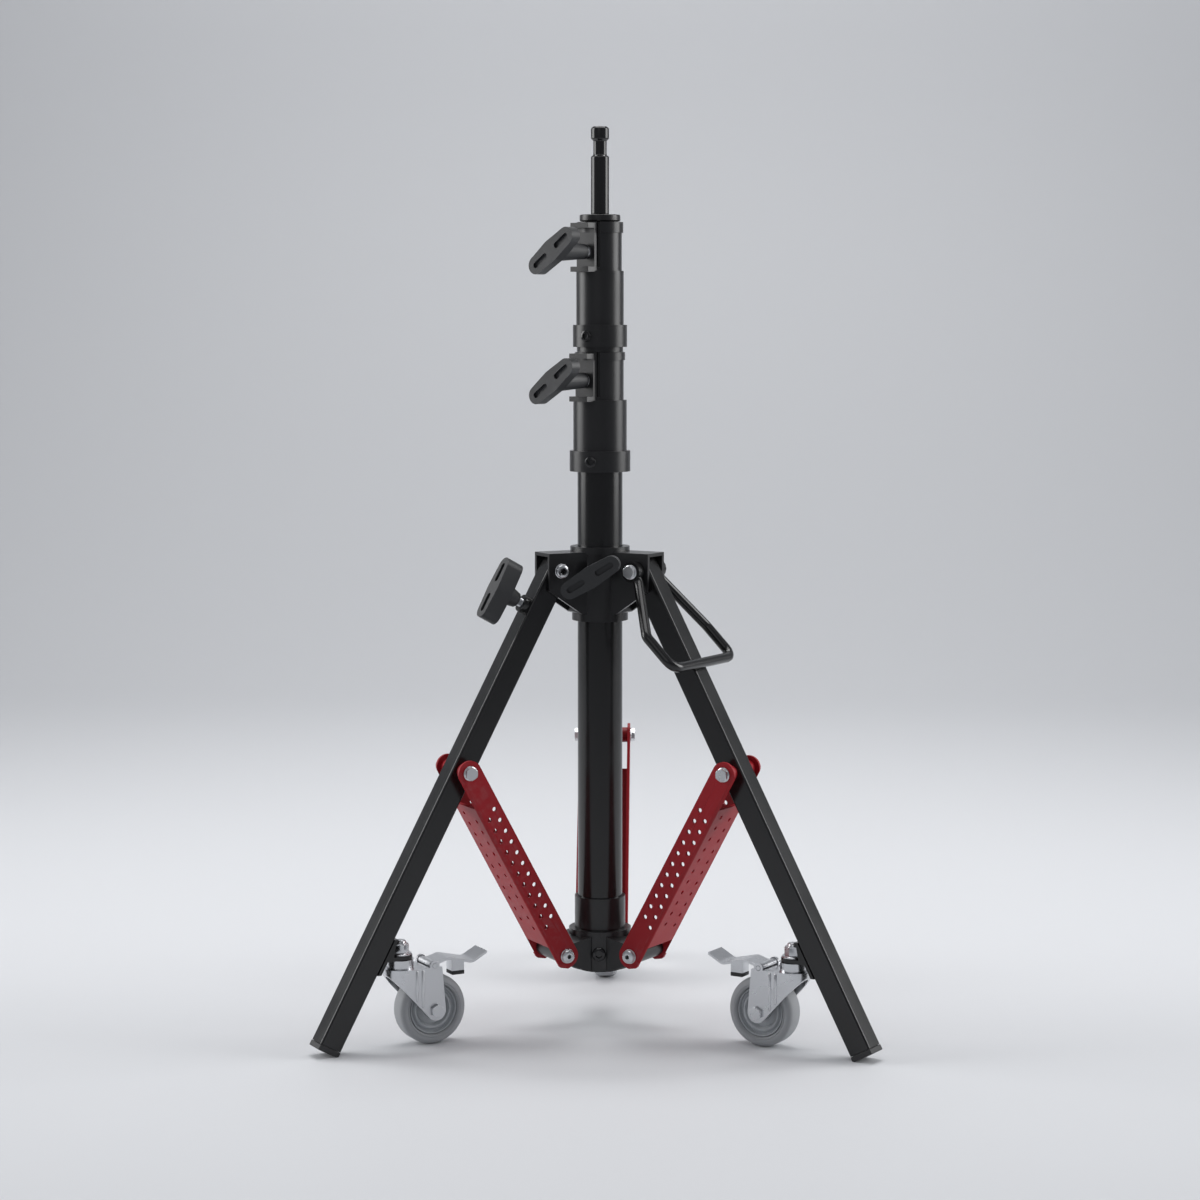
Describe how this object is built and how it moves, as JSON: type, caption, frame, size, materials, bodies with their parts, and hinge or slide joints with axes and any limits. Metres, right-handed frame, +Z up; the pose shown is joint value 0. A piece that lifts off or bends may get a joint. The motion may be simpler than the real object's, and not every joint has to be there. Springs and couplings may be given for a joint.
{
  "type": "roller lighting stand",
  "caption": "Black telescoping lighting stand with T-knob clamps, a sliding yoke, folding square legs on braked casters, red braces, a carry handle and a top mounting stud.",
  "frame": {"origin": "on the floor, under the middle of the stand's box; the column's axis is at x = 0, y = -0.0653", "axes": "+Z up along the column, +Y towards the rear leg, +X towards the right leg's side"},
  "size_m": [0.4944, 0.4282, 0.8005],
  "materials": {
    "satin_black": "satin",
    "charcoal_casting": "satin",
    "gloss_black": "gloss",
    "red_paint": "satin",
    "zinc_plate": "zinc plated",
    "knob_plastic": "matte",
    "cap_plastic": "matte",
    "bush_plastic": "matte",
    "tyre_rubber": "matte",
    "rim_plastic": "satin"
  },
  "bodies": {
    "column": {"base_column": "satin_black", "column_clamp": "charcoal_casting", "brace_collar": "charcoal_casting"},
    "column_knob": {"column_knob": "knob_plastic", "column_knob_stud": "zinc_plate"},
    "riser_1": {"riser_1_tube": "satin_black", "riser_1_bush": "bush_plastic", "riser_1_clamp": "charcoal_casting"},
    "riser_1_knob": {"riser_1_knob": "knob_plastic", "riser_1_knob_stud": "zinc_plate"},
    "riser_2": {"riser_2_tube": "satin_black", "riser_2_bush": "bush_plastic", "top_cap": "charcoal_casting", "mounting_stud": "gloss_black"},
    "yoke": {"yoke": "charcoal_casting", "rear_hinge_bolt": "zinc_plate", "left_hinge_bolt": "zinc_plate", "right_hinge_bolt": "zinc_plate"},
    "yoke_knob": {"yoke_knob": "knob_plastic", "yoke_knob_stud": "zinc_plate"},
    "left_foot": {"left_foot_bar": "zinc_plate", "left_foot_cap": "cap_plastic"},
    "level_knob": {"level_knob": "knob_plastic", "level_knob_stud": "zinc_plate"},
    "carry_handle": {"right_carry_handle": "satin_black"},
    "rear_leg": {"rear_leg": "satin_black", "rear_foot_cap": "cap_plastic", "rear_caster_bracket": "satin_black", "rear_kingpin": "zinc_plate"},
    "rear_brace": {"rear_brace": "red_paint", "rear_brace_top_bolt": "zinc_plate", "rear_brace_foot_bolt": "zinc_plate"},
    "rear_fork": {"rear_caster_fork": "zinc_plate", "rear_caster_axle": "zinc_plate"},
    "rear_wheel": {"rear_caster_rim": "rim_plastic", "rear_caster_tyre": "tyre_rubber"},
    "rear_pedal": {"rear_brake_pedal": "zinc_plate"},
    "left_leg": {"left_leg": "satin_black", "left_caster_bracket": "satin_black", "left_kingpin": "zinc_plate"},
    "left_brace": {"left_brace": "red_paint", "left_brace_top_bolt": "zinc_plate", "left_brace_foot_bolt": "zinc_plate"},
    "left_fork": {"left_caster_fork": "zinc_plate", "left_caster_axle": "zinc_plate"},
    "left_wheel": {"left_caster_rim": "rim_plastic", "left_caster_tyre": "tyre_rubber"},
    "left_pedal": {"left_brake_pedal": "zinc_plate"},
    "right_leg": {"right_leg": "satin_black", "right_foot_cap": "cap_plastic", "right_caster_bracket": "satin_black", "right_kingpin": "zinc_plate"},
    "right_brace": {"right_brace": "red_paint", "right_brace_top_bolt": "zinc_plate", "right_brace_foot_bolt": "zinc_plate"},
    "right_fork": {"right_caster_fork": "zinc_plate", "right_caster_axle": "zinc_plate"},
    "right_wheel": {"right_caster_rim": "rim_plastic", "right_caster_tyre": "tyre_rubber"},
    "right_pedal": {"right_brake_pedal": "zinc_plate"}
  },
  "joints": [
    {"name": "riser_1_slide", "type": "slide", "parent": "column", "child": "riser_1", "axis": [0, 0, 1], "range_m": [0, 0.38]},
    {"name": "riser_2_slide", "type": "slide", "parent": "riser_1", "child": "riser_2", "axis": [0, 0, 1], "range_m": [0, 0.4]},
    {"name": "column_knob_turn", "type": "hinge", "parent": "column", "child": "column_knob", "pos_m": [0, -0.06529, 0.5784], "axis": [-0.617, -0.7869, 0], "range_deg": [0, 180]},
    {"name": "riser_1_knob_turn", "type": "hinge", "parent": "riser_1", "child": "riser_1_knob", "pos_m": [0, -0.06529, 0.69105], "axis": [-0.617, -0.7869, 0], "range_deg": [0, 180]},
    {"name": "yoke_slide", "type": "slide", "parent": "column", "child": "yoke", "axis": [0, 0, 1], "range_m": [0, 0.0228]},
    {"name": "yoke_knob_turn", "type": "hinge", "parent": "yoke", "child": "yoke_knob", "pos_m": [0, -0.06529, 0.409], "axis": [-0.0872, -0.9962, 0], "range_deg": [0, 180]},
    {"name": "rear_leg_hinge", "type": "hinge", "parent": "yoke", "child": "rear_leg", "pos_m": [0, -0.01929, 0.4113], "axis": [-1, 0, 0], "range_deg": [0, 7.97]},
    {"name": "rear_brace_hinge", "type": "hinge", "parent": "rear_leg", "child": "rear_brace", "pos_m": [0, 0.07511, 0.2398], "axis": [-1, 0, 0], "range_deg": [-15.95, 0]},
    {"name": "rear_caster_swivel", "type": "hinge", "parent": "rear_leg", "child": "rear_fork", "pos_m": [0, 0.13199, 0.07], "axis": [0, 0, 1], "range_deg": [-100, 100]},
    {"name": "rear_wheel_spin", "type": "hinge", "parent": "rear_fork", "child": "rear_wheel", "pos_m": [0, 0.10459, 0.0315], "axis": [-1, 0, 0], "continuous": true},
    {"name": "rear_brake_press", "type": "hinge", "parent": "rear_fork", "child": "rear_pedal", "pos_m": [0, 0.10599, 0.0715], "axis": [1, 0, 0], "range_deg": [0, 5.5]},
    {"name": "left_leg_hinge", "type": "hinge", "parent": "yoke", "child": "left_leg", "pos_m": [-0.03984, -0.08829, 0.4113], "axis": [0.5, -0.866, 0], "range_deg": [0, 7.97]},
    {"name": "left_brace_hinge", "type": "hinge", "parent": "left_leg", "child": "left_brace", "pos_m": [-0.12159, -0.13549, 0.2398], "axis": [0.5, -0.866, 0], "range_deg": [-15.95, 0]},
    {"name": "left_caster_swivel", "type": "hinge", "parent": "left_leg", "child": "left_fork", "pos_m": [-0.17085, -0.16393, 0.07], "axis": [0, 0, 1], "range_deg": [-100, 100]},
    {"name": "left_wheel_spin", "type": "hinge", "parent": "left_fork", "child": "left_wheel", "pos_m": [-0.14712, -0.15023, 0.0315], "axis": [0.5, -0.866, 0], "continuous": true},
    {"name": "left_brake_press", "type": "hinge", "parent": "left_fork", "child": "left_pedal", "pos_m": [-0.14833, -0.15093, 0.0715], "axis": [-0.5, 0.866, 0], "range_deg": [0, 5.5]},
    {"name": "right_leg_hinge", "type": "hinge", "parent": "yoke", "child": "right_leg", "pos_m": [0.03984, -0.08829, 0.4113], "axis": [0.5, 0.866, 0], "range_deg": [0, 7.97]},
    {"name": "right_brace_hinge", "type": "hinge", "parent": "right_leg", "child": "right_brace", "pos_m": [0.12159, -0.13549, 0.2398], "axis": [0.5, 0.866, 0], "range_deg": [-15.95, 0]},
    {"name": "right_caster_swivel", "type": "hinge", "parent": "right_leg", "child": "right_fork", "pos_m": [0.17085, -0.16393, 0.07], "axis": [0, 0, 1], "range_deg": [-100, 100]},
    {"name": "right_wheel_spin", "type": "hinge", "parent": "right_fork", "child": "right_wheel", "pos_m": [0.14712, -0.15023, 0.0315], "axis": [0.5, 0.866, 0], "continuous": true},
    {"name": "right_brake_press", "type": "hinge", "parent": "right_fork", "child": "right_pedal", "pos_m": [0.14833, -0.15093, 0.0715], "axis": [-0.5, -0.866, 0], "range_deg": [0, 5.5]},
    {"name": "left_foot_slide", "type": "slide", "parent": "left_leg", "child": "left_foot", "axis": [-0.4176, -0.2411, -0.8761], "range_m": [0, 0.04]},
    {"name": "level_knob_turn", "type": "hinge", "parent": "left_leg", "child": "level_knob", "pos_m": [-0.05654, -0.09794, 0.37626], "axis": [-0.7587, -0.438, 0.4822], "range_deg": [0, 180]},
    {"name": "carry_handle_swing", "type": "hinge", "parent": "right_leg", "child": "carry_handle", "pos_m": [0.03984, -0.08829, 0.4113], "axis": [-0.5, -0.866, 0], "range_deg": [0, 100]}
  ],
  "couplings": [
    {"joint": "rear_leg_hinge", "follows": "yoke_slide", "rad_per_m": 6.097},
    {"joint": "rear_brace_hinge", "follows": "yoke_slide", "rad_per_m": -12.194},
    {"joint": "left_leg_hinge", "follows": "yoke_slide", "rad_per_m": 6.097},
    {"joint": "left_brace_hinge", "follows": "yoke_slide", "rad_per_m": -12.194},
    {"joint": "right_leg_hinge", "follows": "yoke_slide", "rad_per_m": 6.097},
    {"joint": "right_brace_hinge", "follows": "yoke_slide", "rad_per_m": -12.194}
  ]
}
